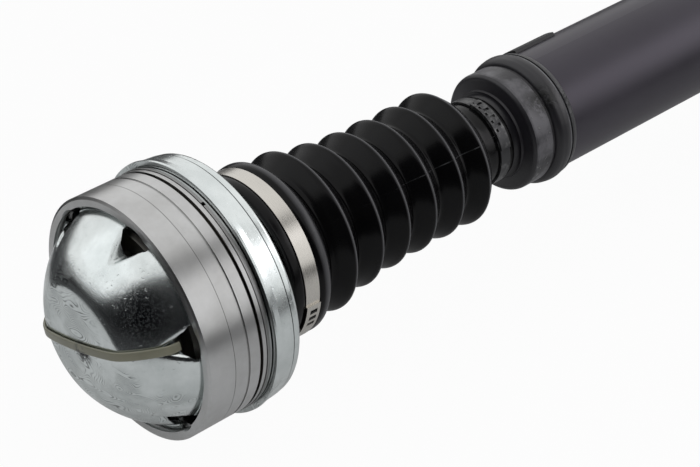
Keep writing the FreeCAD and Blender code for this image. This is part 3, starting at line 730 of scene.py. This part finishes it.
def background_share(nodes, links, glossy_share):
    """One for rays that should see the white background, and glossy_share for those off metal."""
    rays = nodes.new("ShaderNodeLightPath")
    shiny = nodes.new("ShaderNodeMath")
    shiny.operation = "MULTIPLY"
    shiny.inputs[1].default_value = glossy_share
    links.new(rays.outputs["Is Glossy Ray"], shiny.inputs[0])
    seen = nodes.new("ShaderNodeMath")
    seen.operation = "MAXIMUM"
    links.new(rays.outputs["Is Camera Ray"], seen.inputs[0])
    links.new(rays.outputs["Is Transmission Ray"], seen.inputs[1])
    both = nodes.new("ShaderNodeMath")
    both.operation = "MAXIMUM"
    links.new(seen.outputs[0], both.inputs[0])
    links.new(shiny.outputs[0], both.inputs[1])
    return both.outputs[0]


glow = nodes.new("ShaderNodeEmission")
glow.inputs["Strength"].default_value = 1.0
floor_mix = nodes.new("ShaderNodeMixShader")
floor_share = nodes.new("ShaderNodeMath")
floor_share.operation = "MULTIPLY"
floor_share.inputs[1].default_value = 0.96
links.new(background_share(nodes, links, 0.2), floor_share.inputs[0])
links.new(floor_share.outputs[0], floor_mix.inputs[0])
links.new(shader.outputs[0], floor_mix.inputs[1])
links.new(glow.outputs[0], floor_mix.inputs[2])
links.new(floor_mix.outputs[0], nodes["Material Output"].inputs["Surface"])
floor.data.materials.append(pale)

world = bpy.data.worlds.new("studio")
bpy.context.scene.world = world
world.use_nodes = True
nodes, links = world.node_tree.nodes, world.node_tree.links
nodes.clear()
output = nodes.new("ShaderNodeOutputWorld")
soft = nodes.new("ShaderNodeBackground")
soft.inputs["Color"].default_value = (0.94, 0.97, 1.0, 1)
soft.inputs["Strength"].default_value = 0.35
white = nodes.new("ShaderNodeBackground")
white.inputs["Color"].default_value = (1, 1, 1, 1)
white.inputs["Strength"].default_value = 1.0
mix = nodes.new("ShaderNodeMixShader")
links.new(background_share(nodes, links, 1.0), mix.inputs[0])
links.new(soft.outputs[0], mix.inputs[1])
links.new(white.outputs[0], mix.inputs[2])
links.new(mix.outputs[0], output.inputs[0])


def dark_card(name):
    """A black card of the studio, seen only in the metal and in the gloss of paint and rubber."""
    card = bpy.context.object
    card.name = name
    card.data.materials.append(cloth)
    card.visible_camera = False
    card.visible_diffuse = False
    card.visible_shadow = False


cloth, nodes, links, shader = new_material("dark_cloth", (0.012, 0.012, 0.014), 0.0, 0.9)
screen_r = 2.6
screen_middle = 0.95
screen_foot = -0.15
# Azimuth and elevation of the screen's top edge, in degrees
side_heights = [(-180, 30), (-170, 42), (-160, 50), (-145, 56), (-115, 56), (-95, 46), (-80, 20), (-68, 0),
                (107, 0), (121, 7), (150, 15), (165, 20), (180, 30)]
bpy.ops.object.select_all(action="DESELECT")
bpy.ops.mesh.primitive_cylinder_add(vertices=96, radius=screen_r, depth=2.0, end_fill_type="NOTHING",
                                    location=(0, 0, screen_middle))
for vertex in bpy.context.object.data.vertices:
    if vertex.co.z > 0:
        azimuth = math.degrees(math.atan2(vertex.co.y, vertex.co.x))
        for (a0, e0), (a1, e1) in zip(side_heights, side_heights[1:]):
            if a0 <= azimuth <= a1:
                rise = e0 + (e1 - e0) * (azimuth - a0) / (a1 - a0)
                vertex.co.z = screen_r * math.tan(math.radians(rise)) - screen_middle
    else:
        vertex.co.z = screen_foot - screen_middle
dark_card("dark_screen")

bpy.ops.object.select_all(action="DESELECT")
bpy.ops.mesh.primitive_plane_add(size=1, location=(0, 0, -50.0 * mm))
bpy.ops.object.mode_set(mode="EDIT")
bpy.ops.mesh.select_all(action="SELECT")
bpy.ops.mesh.inset(thickness=0.1)
bpy.ops.mesh.delete(type="FACE")
bpy.ops.object.mode_set(mode="OBJECT")
hole = (-0.17, 0.95, -0.26, 0.17)
rim = (-2.7, 3.4, -2.7, 2.7)
for vertex in bpy.context.object.data.vertices:
    left, right, front, back = hole if abs(vertex.co.x) < 0.45 else rim
    vertex.co.x = left if vertex.co.x < 0 else right
    vertex.co.y = front if vertex.co.y < 0 else back
dark_card("dark_table_cards")

bpy.ops.object.select_all(action="DESELECT")
bpy.ops.mesh.primitive_plane_add(size=0.34, location=(0.52, -0.5, 0.93),
                                 rotation=(math.radians(38), 0, math.radians(44)))
dark_card("dark_flag")


def soft_box(name, place, target, width, height, power, in_gloss, colour=(1, 1, 1)):
    """A large soft lamp aimed at a point, with its power in watts."""
    light = bpy.data.lights.new(name, "AREA")
    light.shape = "RECTANGLE"
    light.size, light.size_y = width, height
    light.energy = power
    light.color = colour
    lamp = bpy.data.objects.new(name, light)
    bpy.context.collection.objects.link(lamp)
    lamp.location = place
    lamp.visible_camera = False
    lamp.visible_glossy = in_gloss
    lamp.rotation_euler = (Vector(place) - Vector(target)).to_track_quat("Z", "Y").to_euler()


soft_box("top_box", (0.4, 0.5, 1.5), (0.15, 0, 0), 2.8, 2.0, 8.5, False)
soft_box("left_box", (-0.95, 0.75, 0.95), (0, 0, 0), 1.5, 1.1, 1.4, True, (0.93, 0.97, 1))
soft_box("front_box", (-0.2, -1.1, 1.0), (0.1, 0, 0), 1.2, 0.8, 3.5, False)
soft_box("right_box", (1.35, -0.7, 0.62), (0.35, 0, 0), 1.0, 0.7, 2.9, True, (0.98, 0.95, 1))

camera = bpy.data.objects.new("camera", bpy.data.cameras.new("camera"))
bpy.context.collection.objects.link(camera)
camera.location = (-0.36951, -0.51871, 0.48557)
camera.rotation_euler = (math.radians(54.39), 0, math.radians(-41.84))
camera.data.sensor_width = 36
camera.data.lens = 113.14
camera.data.clip_start = 0.01
bpy.context.scene.camera = camera
bpy.context.scene.view_settings.view_transform = "Standard"
